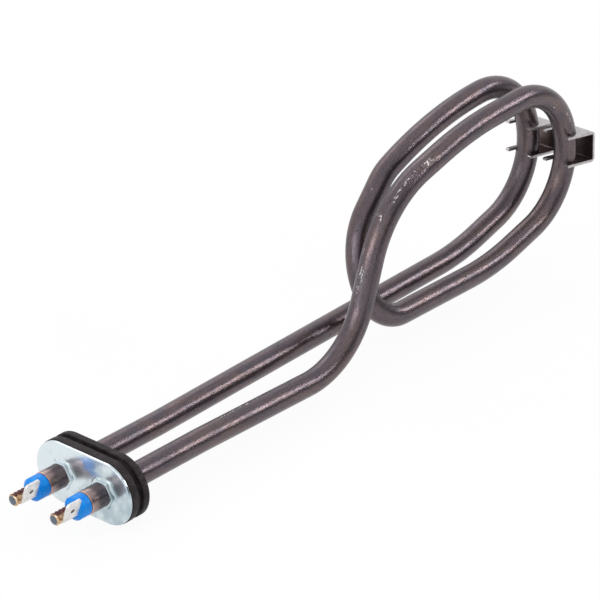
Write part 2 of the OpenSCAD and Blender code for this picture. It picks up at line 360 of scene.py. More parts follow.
def pick(piece, mode, test):
    """In edit mode, selects the corners that pass the test, or the edges between them."""
    bpy.ops.object.mode_set(mode="EDIT")
    bpy.ops.mesh.select_mode(type=mode)
    bpy.ops.mesh.select_all(action="DESELECT")
    leave_edit()
    mesh = piece.data
    if mode == "VERT":
        for v in mesh.vertices:
            v.select = test(v.co)
    else:
        for e in mesh.edges:
            e.select = all(test(mesh.vertices[i].co) for i in e.vertices)
    bpy.ops.object.mode_set(mode="EDIT")


nothing_selected()
print("selected:", len(bpy.context.selected_objects), "objects")

# %% [markdown]
# ## The sheath
#
# The real sheath is one tube, drawn straight, filled, annealed and then bent on a machine with
# round formers. So its line is made of straights and round bends. The corners and radii below
# are the sheath's own, in millimetres. Two bends that would meet get a little tighter.

# %% Line of the sheath
TUBE_R = 4.25
TUBE_WALL = 0.9
STUB_LONG = 9
FIRST_Y = 9.65
LOOP_Y = -6.35
CORNERS = [
    (-STUB_LONG, FIRST_Y, 0),
    (45, FIRST_Y, 0),
    (202.5, FIRST_Y, 4),
    (247, FIRST_Y, 17),
    (240, FIRST_Y, 65.5),
    (189.5, FIRST_Y, 63),
    (162.5, FIRST_Y, 51),
    (138.5, 5, 33),
    (138.5, LOOP_Y, 4.5),
    (202.5, LOOP_Y, 4),
    (249, LOOP_Y, 17),
    (242, LOOP_Y, 65.5),
    (189.5, LOOP_Y, 63),
    (144.5, LOOP_Y, 50.5),
    (120.5, -FIRST_Y, -1.6),
    (45, -FIRST_Y, 0),
    (-STUB_LONG, -FIRST_Y, 0),
]
BEND_R = [0, 100, 90, 27, 27, 135, 27, 30, 14.5, 90, 27, 27, 135, 44, 33, 100, 0]
KEPT_STRAIGHT = 0.2


def tube_line():
    """Straights and bends in turn, each a dict of its place, direction, length and start."""
    points = [Vector(p) for p in CORNERS]
    ways = [(b - a).normalized() for a, b in zip(points, points[1:])]
    lengths = [(b - a).length for a, b in zip(points, points[1:])]
    turns = [0.0] + [a.angle(b) for a, b in zip(ways, ways[1:])] + [0.0]
    # what a bend takes of the straights beside it, and the share of that which fits
    wanted = [r * math.tan(t / 2) for r, t in zip(BEND_R, turns)]
    shares = []
    for long, a, b in zip(lengths, wanted, wanted[1:]):
        shares.append(min(1, (long - KEPT_STRAIGHT) / max(0.01, a + b)))
    fits = [min(a, b) for a, b in zip([1] + shares, shares + [1])]
    line = []
    along = 0.0
    side = Vector((0, 0, 1))
    for i, way in enumerate(ways):
        if i > 0:
            radius = BEND_R[i] * fits[i]
            before = ways[i - 1]
            inward = (way - way.dot(before) * before).normalized()
            start = points[i] - before * wanted[i] * fits[i]
            axis = before.cross(inward)
            bend = {"kind": "bend", "start": start, "way": before, "side": side, "along": along}
            bend.update(centre=start + inward * radius, axis=axis, radius=radius, turn=turns[i])
            line.append(bend)
            along += radius * turns[i]
            side = Matrix.Rotation(turns[i], 3, axis) @ side
        start = points[i] + way * wanted[i] * fits[i]
        long = lengths[i] - wanted[i] * fits[i] - wanted[i + 1] * fits[i + 1]
        straight = {"kind": "straight", "start": start, "way": way, "side": side, "along": along}
        line.append({**straight, "long": long})
        along += long
    return line, along


LINE, TUBE_LONG = tube_line()
print("sheath is", round(TUBE_LONG), "mm long, in", len(LINE), "straights and bends")

# %% [markdown]
# A tube can be a curve with a thickness, but a curve only comes near a round bend. So the tube
# is modelled as the machine makes it: one ring is pulled along each straight and spun round
# each bend.

# %% Pull and spin the tube
RING = 48
STRAIGHT_STEP = 5.0
BEND_STEP = 1.5


def pull_tube(name, radius, parts, around=RING):
    """A round skin along the given straights and bends, open at both ends."""
    nothing_selected()
    first = parts[0]
    bpy.ops.mesh.primitive_circle_add(
        vertices=around, radius=radius * MM, location=first["start"] * MM,
        rotation=first["way"].to_track_quat("Z", "Y").to_euler(),
    )
    tube = just_added(name)
    settle()
    edit_all()
    bpy.ops.mesh.select_mode(type="EDGE")
    for part in parts:
        if part["kind"] == "straight":
            steps = max(1, round(part["long"] / STRAIGHT_STEP))
            step = part["way"] * (part["long"] / steps) * MM
            for _ in range(steps):
                pull(step)
        else:
            # spin turns the other way round its axis, so the angle is negative
            steps = max(1, math.ceil(part["turn"] * part["radius"] / BEND_STEP))
            bpy.ops.mesh.spin(
                steps=steps, angle=-part["turn"], center=part["centre"] * MM, axis=part["axis"]
            )
    leave_edit()
    return tube


sheath = pull_tube("sheath_tube", TUBE_R, LINE)
print("tube surface:", len(sheath.data.vertices), "corners")

# %% [markdown]
# The tube needs a wall, and a small chamfer at its two cut ends. Solidify gives it the wall, and
# a bevel the chamfer. Every piece here is finished alike: its doubles are merged, its faces
# turned outwards, and its place put into the mesh.

# %% Wall and cut ends
END_CHAMFER = 0.3
MERGE_WITHIN = 0.002
SMOOTH_BELOW = 40.0


def apply_modifier(piece, kind, **settings):
    only(piece)
    modifier = piece.modifiers.new(kind.lower(), kind)
    for key, value in settings.items():
        setattr(modifier, key, value)
    bpy.ops.object.modifier_apply(modifier=modifier.name)


def finish_mesh(piece):
    only(piece)
    settle()
    edit_all()
    bpy.ops.mesh.remove_doubles(threshold=MERGE_WITHIN * MM)
    bpy.ops.mesh.normals_make_consistent(inside=False)
    leave_edit()
    bpy.ops.object.shade_smooth_by_angle(angle=math.radians(SMOOTH_BELOW))
    nothing_selected()
    return piece


apply_modifier(sheath, "SOLIDIFY", thickness=TUBE_WALL * MM, offset=-1.0, use_even_offset=True)
pick(sheath, "EDGE", lambda co: co.x < (-STUB_LONG + 0.01) * MM)
bpy.ops.mesh.bevel(offset=END_CHAMFER * MM, segments=2, affect="EDGES")
leave_edit()
finish_mesh(sheath)
print("tube with its wall:", len(sheath.data.vertices), "corners")

# %% [markdown]
# The finish needs to know where a point was before the bending, because the drawing lines and
# scratches run along the tube. So each corner stores its place on the straight tube: two
# numbers across and one along. The nearest straight or bend of the line tells them.


# %% Places on the straight tube
def unbent(points):
    """Where points near the tube, in mm, lie on the straight one, as (side, square, along)."""
    best = np.full(len(points), np.inf)
    places = np.zeros((len(points), 3))
    for part in LINE:
        side = np.array(part["side"])
        way = np.array(part["way"])
        square = np.cross(way, side)
        if part["kind"] == "straight":
            rel = points - np.array(part["start"])
            along = rel @ way
            past = np.maximum(0, np.maximum(-along, along - part["long"]))
            across = rel - along[:, None] * way
        else:
            rel = points - np.array(part["centre"])
            axis = np.array(part["axis"])
            out = np.array(part["start"]) - np.array(part["centre"])
            out /= np.linalg.norm(out)
            up = rel @ axis
            flat = rel - up[:, None] * axis
            angle = np.arctan2(flat @ way, flat @ out)
            far = np.linalg.norm(flat, axis=1)
            past = np.maximum(0, np.maximum(-angle, angle - part["turn"])) * far
            along = angle * part["radius"]
            across = (far - part["radius"])[:, None] * out + up[:, None] * axis
        gap = np.hypot(np.linalg.norm(across, axis=1), past)
        nearer = gap < best - 1e-6
        best = np.where(nearer, gap, best)
        found = np.stack([across @ side, across @ square, part["along"] + along], axis=1)
        places[nearer] = found[nearer]
    return places


def mark_unbent(piece):
    """Stores each corner's place on the straight tube, in mm, as the attribute unbent."""
    corners = np.zeros(len(piece.data.vertices) * 3)
    piece.data.vertices.foreach_get("co", corners)
    places = unbent(corners.reshape(-1, 3) / MM)
    stored = piece.data.attributes.new("unbent", "FLOAT_VECTOR", "POINT")
    stored.data.foreach_set("vector", places.astype(np.float32).ravel())
    return places


places = mark_unbent(sheath)
print("places along the tube from", places[:, 2].min().round(2), "to", places[:, 2].max().round(2))

# %% [markdown]
# ## The finish of the sheath
#
# The tube is an acid resisting steel that was drawn through a die and annealed, which leaves a
# thin brown and violet oxide. It is a metal with a dark colour, so most of its look comes from
# what it mirrors. Along the tube run fine lines from the die, and across it lie cloudy patches
# where the oxide is thicker. Small nicks and the marks of the bending tools show bare steel, and
# the cut ends have a warm tinge with a copper coloured ring. All of it is drawn on the straight
# tube, and follows the bends.

# %% Colours and marks of the sheath
OXIDE = (0.138, 0.110, 0.124)
OXIDE_BROWN = (0.168, 0.125, 0.125)
OXIDE_BLUE = (0.102, 0.098, 0.116)
PIT = (0.030, 0.024, 0.026)
BARE_STEEL = (0.80, 0.77, 0.76)
COPPER_RING = (0.60, 0.36, 0.28)
TINGE = (0.46, 0.35, 0.33)
# how far along the tube a mark lies, on which side in degrees, and half its length and width
MARKS = [
    (654, -170, 17.0, 1.5),
    (641, 175, 5.0, 2.0),
    (668.5, -155, 3.0, 1.0),
    (667.0, -137, 0.9, 2.0),
    (679, -123, 5.0, 0.5),
    (690, -140, 14.0, 2.2),
    (571, 102, 4.2, 1.0),
    (378, 161, 1.0, 1.1),
    (560, 128, 9.0, 0.8),
    (828, -160, 9.0, 1.2),
    (771, -135, 24.0, 1.0),
]


def rubbed_places(steel, spot):
    """1 in the middle of each mark, and 0 away from them."""
    patches = []
    for far, angle, long, wide in MARKS:
        turn = math.radians(angle)
        centre = (TUBE_R * math.cos(turn), TUBE_R * math.sin(turn), far)
        patches.append(steel.near(spot, centre, (wide, wide, long)))
    return sum(patches)


print("marks on the sheath:", len(MARKS))


# %% Sheath finish
def sheath_finish():
    steel = new_finish("sheath_steel")
    spot = steel.node("ShaderNodeAttribute", {"attribute_name": "unbent"}, out="Vector")
    clouds = steel.noise(steel.stretched(spot, 0.22, 0.22, 0.04), 1.0, 4.0, 0.6)
    stains = steel.noise(steel.stretched(spot, 0.6, 0.6, 0.16), 1.0, 4.0, 0.65)
    lines = steel.noise(steel.stretched(spot, 2.4, 2.4, 0.05), 1.0, 4.0, 0.6)
    grain = steel.noise(steel.stretched(spot, 2.0, 2.0, 1.6), 1.0, 5.0, 0.75)
    colour = steel.mix(clouds.stepped(0.42, 0.62), OXIDE, OXIDE_BROWN)
    colour = steel.mix(stains.stepped(0.48, 0.66) * 0.7, colour, OXIDE_BLUE)
    half = TUBE_LONG / 2
    ends = abs(steel.axis(spot, 2) - half)
    stub = ends.stepped(half - STUB_LONG, half - STUB_LONG + 1)
    colour = steel.mix(lines.stepped(0.45, 0.70) * (0.22 + 0.4 * stub), colour, PIT)
    colour = steel.mix(grain.stepped(0.48, 0.64) * 0.5, colour, PIT)
    tinge = (ends + stains * 5).stepped(half - 1.5, half + 1.5)
    colour = steel.mix(tinge * 0.6, colour, TINGE)
    pits = steel.noise(steel.stretched(spot, 0.9, 0.9, 0.7), 1.0, 3.0, 0.6).stepped(0.67, 0.71)
    colour = steel.mix(pits * 0.6, colour, PIT)
    nicks = steel.noise(steel.stretched(spot, 1.6, 1.6, 1.2), 1.0, 4.0, 0.7).stepped(0.705, 0.74)
    broken = steel.noise(steel.stretched(spot, 1.5, 1.5, 1.0), 1.0, 4.0, 0.7)
    rubbed = rubbed_places(steel, spot)
    scuffs = (rubbed * 0.34 + broken).stepped(0.87, 0.93)
    bare = (nicks + scuffs).clipped()
    colour = steel.mix(bare * 0.85, colour, BARE_STEEL)
    ring = (ends + grain * 0.6).stepped(half - 0.25, half + 0.05)
    colour = steel.mix(ring, colour, COPPER_RING)
    rough = 0.14 + 0.14 * lines + 0.16 * stains + 0.06 * bare
    height = lines * 0.4 + grain * 0.6 + stains * 1.2 + rubbed * broken * 3.0
    height = height - pits * 0.8 - bare * 0.5
    normal = steel.bump(height, 0.6, 0.13 * MM)
    return steel.surface(base_color=colour, metallic=0.95, roughness=rough, normal=normal)


def open_edges(piece):
    """How many edges don't lie between exactly two faces. A closed piece has none."""
    uses = Counter(key for face in piece.data.polygons for key in face.edge_keys)
    return sum(1 for count in uses.values() if count != 2)


def dress(piece, material, slot, *nodes):
    """Gives a finished piece its finish and its body, and hides the solids that it stands for."""
    piece.data.materials.clear()
    piece.data.materials.append(material)
    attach(piece, "root")
    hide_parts(*nodes)
    print(piece.name, "has", len(piece.data.polygons), "faces and", open_edges(piece), "open edges")


SHEATH_NODES = ["first_leg", "first_loop", "crossing", "second_loop", "second_leg"]
dress(sheath, sheath_finish(), "sheath_steel", *["sheath_" + n for n in SHEATH_NODES])

# %% [markdown]
# ## The flange plate
#
# The plate is a stamped oval of sheet steel. Its two collars are drawn up out of the sheet and
# then crimped on the tube with six jaws, which leaves a hexagon with a bright turned rim. An
# oval is a circle whose halves are pulled apart, so that is how its outline is made here.

# %% Oval slab
OVAL_RING = 96
QUARTER_TURN = (0, math.radians(90), 0)
PLATE_LOW, PLATE_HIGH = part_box("flange_plate")
PLATE_LONG = (PLATE_HIGH.y - PLATE_LOW.y) / MM
PLATE_WIDE = (PLATE_HIGH.z - PLATE_LOW.z) / MM


def oval_slab(name, long, wide, x0, x1):
    """A closed slab with an oval outline, long along Y, from x0 to x1 in mm."""
    nothing_selected()
    bpy.ops.mesh.primitive_circle_add(
        vertices=OVAL_RING, radius=wide / 2 * MM, location=(x0 * MM, 0, 0), rotation=QUARTER_TURN
    )
    slab = just_added(name)
    settle()
    for side in (-1, 1):
        pick(slab, "VERT", lambda co: side * co.y > 0.01 * MM)
        bpy.ops.transform.translate(value=(0, side * (long - wide) / 2 * MM, 0))
    edit_all()
    bpy.ops.mesh.edge_face_add()
    edit_all()
    pull(((x1 - x0) * MM, 0, 0))
    edit_all()
    bpy.ops.mesh.normals_make_consistent(inside=False)
    leave_edit()
    return slab


print("plate is", round(PLATE_LONG, 1), "by", round(PLATE_WIDE, 1), "mm")

# %% [markdown]
# A drill is a piece too, and a boolean takes it away. The cut stays clean if the drill has as
# many sides as the round that it meets, so bores and collars share one number.

# %% Bores, joins and rounded edges
SEAT_GAP = 0.04
BORE_R = TUBE_R + SEAT_GAP
BORE_SIDES = 96
DRILL_LONG = 60


def boolean(piece, other, operation):
    """Cuts the other piece away, or welds it on, and clears it from the bench."""
    apply_modifier(piece, "BOOLEAN", operation=operation, solver="EXACT", object=other)
    bpy.data.objects.remove(other)


def cut_away(piece, tool):
    boolean(piece, tool, "DIFFERENCE")


def leg_bores(piece):
    """Drills the two holes for the legs through a piece."""
    for side in (-1, 1):
        nothing_selected()
        bpy.ops.mesh.primitive_cylinder_add(
            vertices=BORE_SIDES, radius=BORE_R * MM, depth=DRILL_LONG * MM,
            location=(0, side * FIRST_Y * MM, 0), rotation=QUARTER_TURN,
        )
        cut_away(piece, bpy.context.object)


def soften(piece, width, segments, angle=35.0):
    """Rounds every edge that is sharper than the angle."""
    apply_modifier(
        piece, "BEVEL", width=width * MM, segments=segments, limit_method="ANGLE",
        angle_limit=math.radians(angle), use_clamp_overlap=True,
    )


print("bores are", round(2 * BORE_R, 2), "mm wide")

# %% [markdown]
# The lathe turns every round piece. It starts from a circle, and pulls it out ring by ring along
# the profile, as a turner follows a template. A spin of the profile would do the same, but it
# leaves doubles where it closes.


# %% Lathe
def lathe(name, centre, profile, around=64, hollow=False):
    """Turns a profile of (distance out along -X, radius) pairs round the axis through centre."""
    nothing_selected()
    x0, r0 = profile[0]
    start = centre - Vector((x0 * MM, 0, 0))
    bpy.ops.mesh.primitive_circle_add(
        vertices=around, radius=r0 * MM, location=start, rotation=QUARTER_TURN
    )
    piece = just_added(name)
    settle()
    edit_all()
    if not hollow:
        bpy.ops.mesh.edge_face_add()
        edit_all()
    for (xa, ra), (xb, rb) in zip(profile, profile[1:]):
        pull((-(xb - xa) * MM, 0, 0))
        ring = centre - Vector((xb * MM, 0, 0))
        bpy.ops.transform.resize(value=(1, rb / ra, rb / ra), center_override=ring)
    leave_edit()
    return piece


print("the lathe is ready")

# %% [markdown]
# A collar is turned on the lathe first, with its bore, its rim and the flare that runs out into
# the plate. Then the crimping jaws come: the corners of its mesh are moved outwards to a hexagon
# with blunt corners, fully at the rim and less and less down the flare. Booleans join the
# collars to the plate and drill the bores.

# %% Collars
COLLAR_HIGH = 1.7
COLLAR_FLAT = 9.6
COLLAR_ROOT = 0.6
CORNER_REACH = 1.15
RIM_ROUND = 0.25
FLARE = 1.3
CRIMP_FROM = 0.7
LEFT_TO_DRILL = 0.3
QUARTER = [math.radians(a) for a in range(0, 91, 15)]


def hexagon(angle):
    """How far a blunt hexagon reaches at that angle, where 1 is the distance to its flats."""
    step = math.pi / 3
    sharp = 1 / math.cos((angle + step / 2) % step - step / 2)
    return min(sharp, CORNER_REACH)


def crimp(piece, centre):
    """Moves the outside of a collar out to the hexagon."""
    for v in piece.data.vertices:
        out = (centre.x - v.co.x) / MM
        y = v.co.y - centre.y
        z = v.co.z - centre.z
        if math.hypot(y, z) > (BORE_R + 0.1) * MM and out > 0:
            part = min(1.0, out / CRIMP_FROM)
            grow = 1 + (hexagon(math.atan2(y, z)) - 1) * part
            v.co.y = centre.y + y * grow
            v.co.z = centre.z + z * grow


def collar(side):
    centre = Vector((0, side * FIRST_Y * MM, 0))
    inner = BORE_R - LEFT_TO_DRILL
    rim = COLLAR_FLAT / 2
    foot = rim + FLARE
    profile = [(-COLLAR_ROOT, inner), (-COLLAR_ROOT, foot), (-0.01, foot)]
    for t in QUARTER[1:]:
        profile.append((FLARE - FLARE * math.cos(t), foot - FLARE * math.sin(t)))
    for t in QUARTER:
        out = COLLAR_HIGH - RIM_ROUND + RIM_ROUND * math.sin(t)
        profile.append((out, rim - RIM_ROUND + RIM_ROUND * math.cos(t)))
    profile += [(COLLAR_HIGH, inner), (-COLLAR_ROOT, inner)]
    turned = finish_mesh(lathe("collar", centre, profile, around=BORE_SIDES, hollow=True))
    crimp(turned, centre)
    return turned


print("collars reach", round(COLLAR_FLAT / 2 * hexagon(math.pi / 6), 2), "mm at their corners")

# %% Flange plate
PLATE_THICK = 1.2


def make_plate():
    plate = oval_slab("flange_sheet", PLATE_LONG, PLATE_WIDE, 0, PLATE_THICK)
    soften(plate, width=0.35, segments=4)
    for side in (-1, 1):
        boolean(plate, collar(side), "UNION")
    leg_bores(plate)
    soften(plate, width=0.14, segments=2, angle=50.0)
    return finish_mesh(plate)


plate = make_plate()
plate_front = min(v.co.x for v in plate.data.vertices)
print("plate reaches", round(plate_front / MM, 2), "mm in front of its face")

# %% [markdown]
# Zinc from a bath comes out bright and a little blue. The sheet under it isn't quite flat, so
# what it mirrors is drawn out in soft waves. It has random duller patches, and it is painted
# duller towards its lower corner on the -Y side, which is painted shade. It has tiny dark
# specks, where a bubble sat.

# %% Zinc finish
ZINC = (0.72, 0.80, 0.83)
ZINC_DULL_AND_SHADE = (0.42, 0.52, 0.56)
ZINC_SPECK = (0.10, 0.075, 0.07)


def zinc_finish():
    zinc = new_finish("zinc_plate")
    spot = zinc.place()
    waves = zinc.noise(spot, 0.12, 1.0)
    cloud = zinc.noise(spot, 0.22, 3.0, 0.5)
    grain = zinc.noise(spot, 4.0, 3.0, 0.6)
    specks = zinc.noise(spot, 1.7, 2.0, 0.5).stepped(0.735, 0.76)
    # painted shade: the zinc is painted duller towards its lower corner on the -Y side
    painted_shade_low = zinc.axis(spot, 1) * -0.010 + zinc.axis(spot, 2) * -0.012
    colour = zinc.mix((cloud + painted_shade_low).stepped(0.36, 0.90), ZINC, ZINC_DULL_AND_SHADE)
    colour = zinc.mix(specks * 0.8, colour, ZINC_SPECK)
    rough = 0.16 + 0.07 * cloud + 0.03 * grain + 0.3 * specks
    wavy = zinc.bump(waves, 0.6, 0.6 * MM)
    normal = zinc.bump(grain, 0.08, 0.01 * MM, wavy)
    return zinc.surface(base_color=colour, metallic=0.92, roughness=rough, normal=normal)


dress(plate, zinc_finish(), "zinc_plate", "flange_plate")

# %% [markdown]
# ## The seal
#
# The seal is moulded rubber: two ribs with a groove between them, which grips the edge of the
# hole in the tub. Every edge of a moulding is rounded. It could be three slabs joined, but one
# slab with the groove cut out of it leaves cleaner corners for the bevel. The bores are drilled
# and rounded first, while the slab is still plain.

# %% Seal
SEAL_LOW, SEAL_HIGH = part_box("grommet_seal")
SEAL_OVER = 0.2
GROOVE_DEEP = 1.8
OUTER_RIB = 3.0
GROOVE_WIDE = 2.1
# how far the cutters reach past what they cut
SPARE = 1


def make_seal():
    x0 = SEAL_LOW.x / MM
    x1 = x0 + OUTER_RIB
    x2 = x1 + GROOVE_WIDE
    x3 = SEAL_HIGH.x / MM
    long = PLATE_LONG + 2 * SEAL_OVER
    wide = PLATE_WIDE + 2 * SEAL_OVER
    seal = oval_slab("grommet", long, wide, x0, x3)
    ring = oval_slab("groove", long + 4 * SPARE, wide + 4 * SPARE, x1, x2)
    neck_long = long - 2 * GROOVE_DEEP
    neck_wide = wide - 2 * GROOVE_DEEP
    neck = oval_slab("neck", neck_long, neck_wide, x1 - SPARE, x2 + SPARE)
    leg_bores(seal)
    soften(seal, width=0.2, segments=3, angle=60.0)
    cut_away(ring, neck)
    cut_away(seal, ring)
    soften(seal, width=0.62, segments=4)
    return finish_mesh(seal)


seal = make_seal()
print("seal is", round((SEAL_HIGH.x - SEAL_LOW.x) / MM, 1), "mm deep behind the plate")

# %% [markdown]
# The rubber is nearly black and mirrors little. A pale bloom lies on it in patches, with some
# dust, and the mould left a fine grain that breaks up the light.

# %% Rubber finish
RUBBER = (0.011, 0.0075, 0.0085)
RUBBER_WORN = (0.034, 0.025, 0.027)
DUST = (0.16, 0.15, 0.14)


def rubber_finish():
    rubber = new_finish("seal_rubber")
    spot = rubber.place()
    bloom = rubber.noise(spot, 0.35, 4.0, 0.65)
    grain = rubber.noise(spot, 5.0, 3.0, 0.7)
    dust = rubber.noise(spot, 2.4, 2.0, 0.6).stepped(0.70, 0.78)
    colour = rubber.mix(bloom.stepped(0.40, 0.70), RUBBER, RUBBER_WORN)
    colour = rubber.mix(dust * 0.5, colour, DUST)
    rough = 0.50 + 0.16 * grain
    normal = rubber.bump(grain + bloom, 0.5, 0.12 * MM)
    return rubber.surface(base_color=colour, roughness=rough, specular_ior_level=0.25, normal=normal)


dress(seal, rubber_finish(), "seal_rubber", "grommet_seal")

# %% [markdown]
# ## Bushes, pins and tabs
#
# Each end of the tube is closed by a blue plastic bush, and the pin comes out through it. Bush
# and pin are turned shapes, so both come from the lathe. What is made for the first leg is then
# copied to the second, 19.3 mm away, with a mesh of its own.

# %% Bushes
STUB_END = Vector((-STUB_LONG * MM, FIRST_Y * MM, 0))
TO_SECOND = Vector((0, -2 * FIRST_Y, 0))
BUSH_R = 4.1
BUSH_LONG = 5.8
BUSH_CHAMFER = 1.1
SPIGOT_R = TUBE_R - TUBE_WALL - SEAT_GAP
SPIGOT_LONG = 3.0
PIN_BORE = 1.44


def make_bush():
    face = BUSH_LONG - BUSH_CHAMFER
    nose = BUSH_R - BUSH_CHAMFER
    profile = [
        (-SPIGOT_LONG, PIN_BORE),
        (-SPIGOT_LONG, SPIGOT_R),
        (SEAT_GAP, SPIGOT_R),
        (SEAT_GAP, BUSH_R - 0.2),
        (SEAT_GAP + 0.2, BUSH_R),
        (face - 0.15, BUSH_R),
        (face, BUSH_R - 0.06),
        (face + 0.12, BUSH_R - 0.18),
        (BUSH_LONG - 0.15, nose + 0.08),
        (BUSH_LONG, nose - 0.08),
        (BUSH_LONG, PIN_BORE),
        (-SPIGOT_LONG, PIN_BORE),
    ]
    return finish_mesh(lathe("first_bush", STUB_END, profile, hollow=True))


first_bush = make_bush()
print("a bush has", len(first_bush.data.vertices), "corners")

# %% [markdown]
# The blue plastic was moulded with a satin skin. Its blue varies a little, and a few pale scuffs
# run along it.

# %% Blue plastic finish
BLUE = (0.0, 0.215, 0.72)
BLUE_PALE = (0.0, 0.27, 0.80)
BLUE_SCUFF = (0.20, 0.45, 0.80)


def blue_finish():
    blue = new_finish("bush_plastic")
    spot = blue.place()
    cloud = blue.noise(spot, 0.7, 3.0)
    grain = blue.noise(spot, 7.0, 3.0, 0.6)
    scuffs = blue.noise(blue.stretched(spot, 0.5, 3.0, 3.0), 1.0, 3.0, 0.6).stepped(0.66, 0.74)
    colour = blue.mix(cloud.stepped(0.4, 0.7), BLUE, BLUE_PALE)
    colour = blue.mix(scuffs * 0.2, colour, BLUE_SCUFF)
    rough = 0.28 + 0.14 * grain
    normal = blue.bump(grain, 0.25, 0.06 * MM)
    return blue.surface(base_color=colour, roughness=rough, specular_ior_level=0.3, normal=normal)


def dress_pair(first, material, slot, node):
    """Copies a piece to the second leg, and dresses both."""
    second = first.copy()
    second.data = first.data.copy()
    second.name = first.name.replace("first", "second")
    bpy.context.scene.collection.objects.link(second)
    second.data.transform(Matrix.Translation(TO_SECOND * MM))
    dress(first, material, slot, "first_" + node)
    dress(second, material, slot, "second_" + node)


dress_pair(first_bush, blue_finish(), "bush_plastic", "insulating_bush")

# %% [markdown]
# The outer end of the pin has grooves that the welding tongs and the tab hold on to. The pin is
# one turned piece with its thin inner length, which reaches 50 mm into the tube.

# %% Pins
PIN_INSIDE = 50
PIN_R = 1.4
PIN_END_R = 2.2
PIN_END_LONG = 7.8
PIN_EDGE = 0.15
RIDGES = 4
RIDGE_DEEP = 0.35
RIDGE_LAND = 0.6
TIP = 0.5
# one groove, as shares of the pitch and of the depth
RIDGE_DIP = [(0.0, 0.0), (0.2, 0.3), (0.38, 0.9), (0.5, 1.0), (0.62, 0.9), (0.8, 0.3)]


def close_ends(piece):
    only(piece)
    edit_all()
    bpy.ops.mesh.remove_doubles(threshold=0.001 * MM)
    bpy.ops.mesh.fill_holes(sides=0)
    bpy.ops.mesh.normals_make_consistent(inside=False)
    leave_edit()
    return piece


def make_pin():
    start = BUSH_LONG + SEAT_GAP
    stop = start + PIN_END_LONG
    pitch = (PIN_END_LONG - 2 * RIDGE_LAND) / RIDGES
    profile = [(-PIN_INSIDE, PIN_R), (start, PIN_R)]
    profile += [(start, PIN_END_R - PIN_EDGE), (start + PIN_EDGE, PIN_END_R)]
    for k in range(RIDGES):
        near = start + RIDGE_LAND + k * pitch
        for share, depth in RIDGE_DIP:
            profile.append((near + share * pitch, PIN_END_R - depth * RIDGE_DEEP))
    profile += [(stop - RIDGE_LAND, PIN_END_R), (stop - TIP, PIN_END_R - 0.04)]
    profile += [(stop - PIN_EDGE, PIN_END_R - TIP + 0.1), (stop, PIN_END_R - TIP - 0.1)]
    return finish_mesh(close_ends(lathe("first_pin", STUB_END, profile)))


first_pin = make_pin()
print("a pin has", len(first_pin.data.vertices), "corners")

# %% [markdown]
# Heat from the weld left the pin golden brown. Its upper side is painted dark maroon, which is
# painted shade, and its end face is bare steel painted dark grey-blue, a painted reflection.
# The upper side and the end face are found by which way the surface faces.

# %% Pin finish
GOLD = (0.52, 0.32, 0.17)
GOLD_PALE = (0.80, 0.60, 0.38)
MAROON_PAINTED_SHADE = (0.085, 0.030, 0.032)
END_STEEL_AND_REFLECTION = (0.13, 0.16, 0.20)


def pin_finish():
    pin = new_finish("pin_steel")
    spot = pin.place()
    way = pin.node("ShaderNodeNewGeometry", out="Normal")
    cloud = pin.noise(spot, 0.9, 4.0, 0.6)
    grain = pin.noise(pin.stretched(spot, 2.0, 5.0, 5.0), 1.0, 4.0, 0.6)
    colour = pin.mix(cloud.stepped(0.4, 0.65), GOLD, GOLD_PALE)
    # painted shade: the upward facing side of the pin is painted dark maroon
    colour = pin.mix((pin.axis(way, 2) + cloud * 0.8).stepped(0.95, 1.3), colour, MAROON_PAINTED_SHADE)
    # painted reflection: the bare steel end face is painted dark grey-blue
    colour = pin.mix((0.0 - pin.axis(way, 0)).stepped(0.85, 0.95), colour, END_STEEL_AND_REFLECTION)
    rough = 0.24 + 0.2 * grain
    normal = pin.bump(grain + cloud, 0.4, 0.08 * MM)
    return pin.surface(base_color=colour, metallic=0.9, roughness=rough, normal=normal)


dress_pair(first_pin, pin_finish(), "pin_steel", "terminal_pin")

# %% [markdown]
# The tab is a blade that was punched from tinned sheet and welded to the side of the pin. A
# blade starts as a flat box. Its top corners are cut, the latch hole and the little notch in the
# top edge are punched, and its edges get a small round. Then it leans out and moves to its
# place.

# %% Tabs
TAB_WIDE = 6.3
TAB_LONG = 7.8
TAB_THICK = 0.8
TAB_LIFT = 0.3
TAB_HOLE = 1.6
TAB_CORNER = 0.7
TAB_LEAN = math.radians(21.0)
NOTCH_R = 0.3
NOTCH_AT = (0.7, 0, TAB_LONG + 0.15)
TAB_BASE = Vector((0, -PIN_END_R - SEAT_GAP - TAB_THICK / 2, TAB_LIFT))
TAB_AT = Vector((-STUB_LONG - BUSH_LONG - SEAT_GAP - TAB_WIDE / 2, FIRST_Y, 0))


def punch(piece, radius, at):
    nothing_selected()
    bpy.ops.mesh.primitive_cylinder_add(
        vertices=48, radius=radius * MM, depth=5 * TAB_THICK * MM, location=Vector(at) * MM,
        rotation=(math.radians(90), 0, 0),
    )
    cut_away(piece, bpy.context.object)


def cut_top_corner(tab, side):
    top = (TAB_LONG - 0.01) * MM
    edge = (TAB_WIDE / 2 - 0.01) * MM
    pick(tab, "EDGE", lambda co: co.z > top and side * co.x > edge)
    bpy.ops.mesh.bevel(offset=TAB_CORNER * MM, segments=1, affect="EDGES")
    leave_edit()


